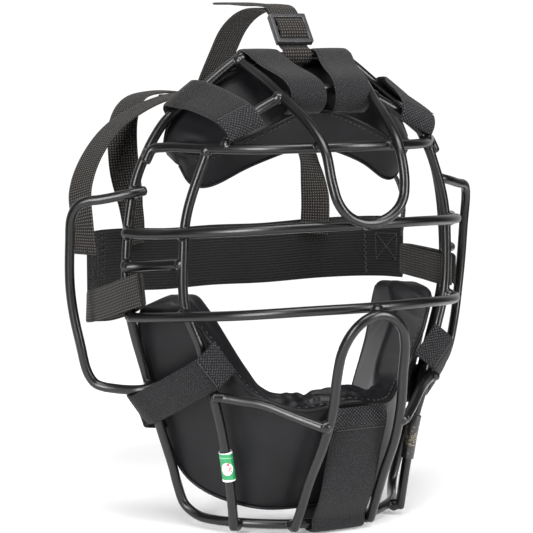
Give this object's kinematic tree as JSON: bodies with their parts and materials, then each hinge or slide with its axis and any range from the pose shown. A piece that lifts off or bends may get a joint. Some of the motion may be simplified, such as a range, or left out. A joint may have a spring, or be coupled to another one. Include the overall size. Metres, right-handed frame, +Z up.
{
  "type": "catcher's mask",
  "caption": "Ball sports catcher's mask: black welded rod cage with ear guards, padded brow and jaw liners held by hook-and-loop straps, and an elastic and webbing head harness.",
  "frame": {"origin": "middle of the cage's rear plane at eye level, where the wearer's head is", "axes": "+Z up, the face of the mask towards -Y, the wearer's right at -X"},
  "size_m": [0.288, 0.2812, 0.3243],
  "materials": {
    "coated_steel": "satin black coating",
    "synthetic_leather": "smooth, slightly glossy",
    "padding_foam": "open-cell foam",
    "hook_and_loop": "matt charcoal pile",
    "webbing": "woven, matt",
    "elastic": "ribbed, matt",
    "grey_nylon": "satin",
    "green_label": "printed film",
    "clear_label": "clear film"
  },
  "bodies": {
    "cage": {"side_hoop": "coated_steel", "top_rod": "coated_steel", "brow_bar": "coated_steel", "eye_bar": "coated_steel", "cheek_bar": "coated_steel", "nose_loop": "coated_steel", "chin_loop": "coated_steel", "arch_bridge": "coated_steel", "arch_spoke_left": "coated_steel", "arch_spoke_right": "coated_steel", "upright_left": "coated_steel", "upright_right": "coated_steel", "slot_bar_left": "coated_steel", "slot_bar_right": "coated_steel", "ear_guard_left": "coated_steel", "ear_guard_right": "coated_steel", "mouth_bar_left": "coated_steel", "mouth_bar_right": "coated_steel", "brow_liner_front_cover": "synthetic_leather", "brow_liner_face_cover": "synthetic_leather", "jaw_liner_front_cover": "synthetic_leather", "jaw_liner_face_cover": "synthetic_leather", "brow_liner_foam": "padding_foam", "jaw_liner_foam": "padding_foam", "inner_brow_strap_left": "hook_and_loop", "inner_brow_strap_right": "hook_and_loop", "outer_brow_strap_left": "hook_and_loop", "outer_brow_strap_right": "hook_and_loop", "cheek_strap_left": "hook_and_loop", "cheek_strap_right": "hook_and_loop", "chin_strap": "hook_and_loop", "front_strap": "webbing", "strap_tail": "webbing", "label_left": "green_label", "label_right": "clear_label"},
    "inner_brow_flap_left": {"inner_brow_flap_left": "hook_and_loop"},
    "inner_brow_flap_right": {"inner_brow_flap_right": "hook_and_loop"},
    "outer_brow_flap_left": {"outer_brow_flap_left": "hook_and_loop"},
    "outer_brow_flap_right": {"outer_brow_flap_right": "hook_and_loop"},
    "cheek_flap_left": {"cheek_flap_left": "hook_and_loop"},
    "cheek_flap_right": {"cheek_flap_right": "hook_and_loop"},
    "chin_flap": {"chin_flap": "hook_and_loop"},
    "slide": {"tri_glide": "grey_nylon"},
    "harness": {"back_band": "elastic", "side_loop_left": "webbing", "side_loop_right": "webbing", "crown_patch": "webbing", "side_crown_strap_left": "webbing", "side_crown_strap_right": "webbing", "rear_crown_strap_left": "webbing", "rear_crown_strap_right": "webbing"}
  },
  "joints": [
    {"name": "inner_brow_peel_left", "type": "hinge", "parent": "cage", "child": "inner_brow_flap_left", "pos_m": [-0.0229, 0, 0.12045], "axis": [1, 0, 0], "range_deg": [0, 90]},
    {"name": "outer_brow_peel_left", "type": "hinge", "parent": "cage", "child": "outer_brow_flap_left", "pos_m": [-0.07607, 0, 0.09511], "axis": [0.7867, 0, 0.6174], "range_deg": [0, 90]},
    {"name": "cheek_peel_left", "type": "hinge", "parent": "cage", "child": "cheek_flap_left", "pos_m": [-0.10524, 0, -0.10088], "axis": [-0.6, 0, 0.8], "range_deg": [0, 90]},
    {"name": "inner_brow_peel_right", "type": "hinge", "parent": "cage", "child": "inner_brow_flap_right", "pos_m": [0.0269, 0, 0.12045], "axis": [1, 0, 0], "range_deg": [0, 90]},
    {"name": "outer_brow_peel_right", "type": "hinge", "parent": "cage", "child": "outer_brow_flap_right", "pos_m": [0.07607, 0, 0.09511], "axis": [0.7867, 0, -0.6174], "range_deg": [0, 90]},
    {"name": "cheek_peel_right", "type": "hinge", "parent": "cage", "child": "cheek_flap_right", "pos_m": [0.10524, 0, -0.10088], "axis": [-0.6, 0, -0.8], "range_deg": [0, 90]},
    {"name": "chin_peel", "type": "hinge", "parent": "cage", "child": "chin_flap", "pos_m": [0.003, -0.055, -0.17495], "axis": [-1, 0, 0], "range_deg": [0, 90]},
    {"name": "harness_tilt", "type": "hinge", "parent": "cage", "child": "harness", "pos_m": [0, 0, -0.024], "axis": [1, 0, 0], "range_deg": [-4, 8], "deforming": ["front_strap", "strap_tail"]},
    {"name": "slide_travel", "type": "slide", "parent": "cage", "child": "slide", "axis": [0, 0.6112, 0.7915], "range_m": [0, 0.006]}
  ]
}
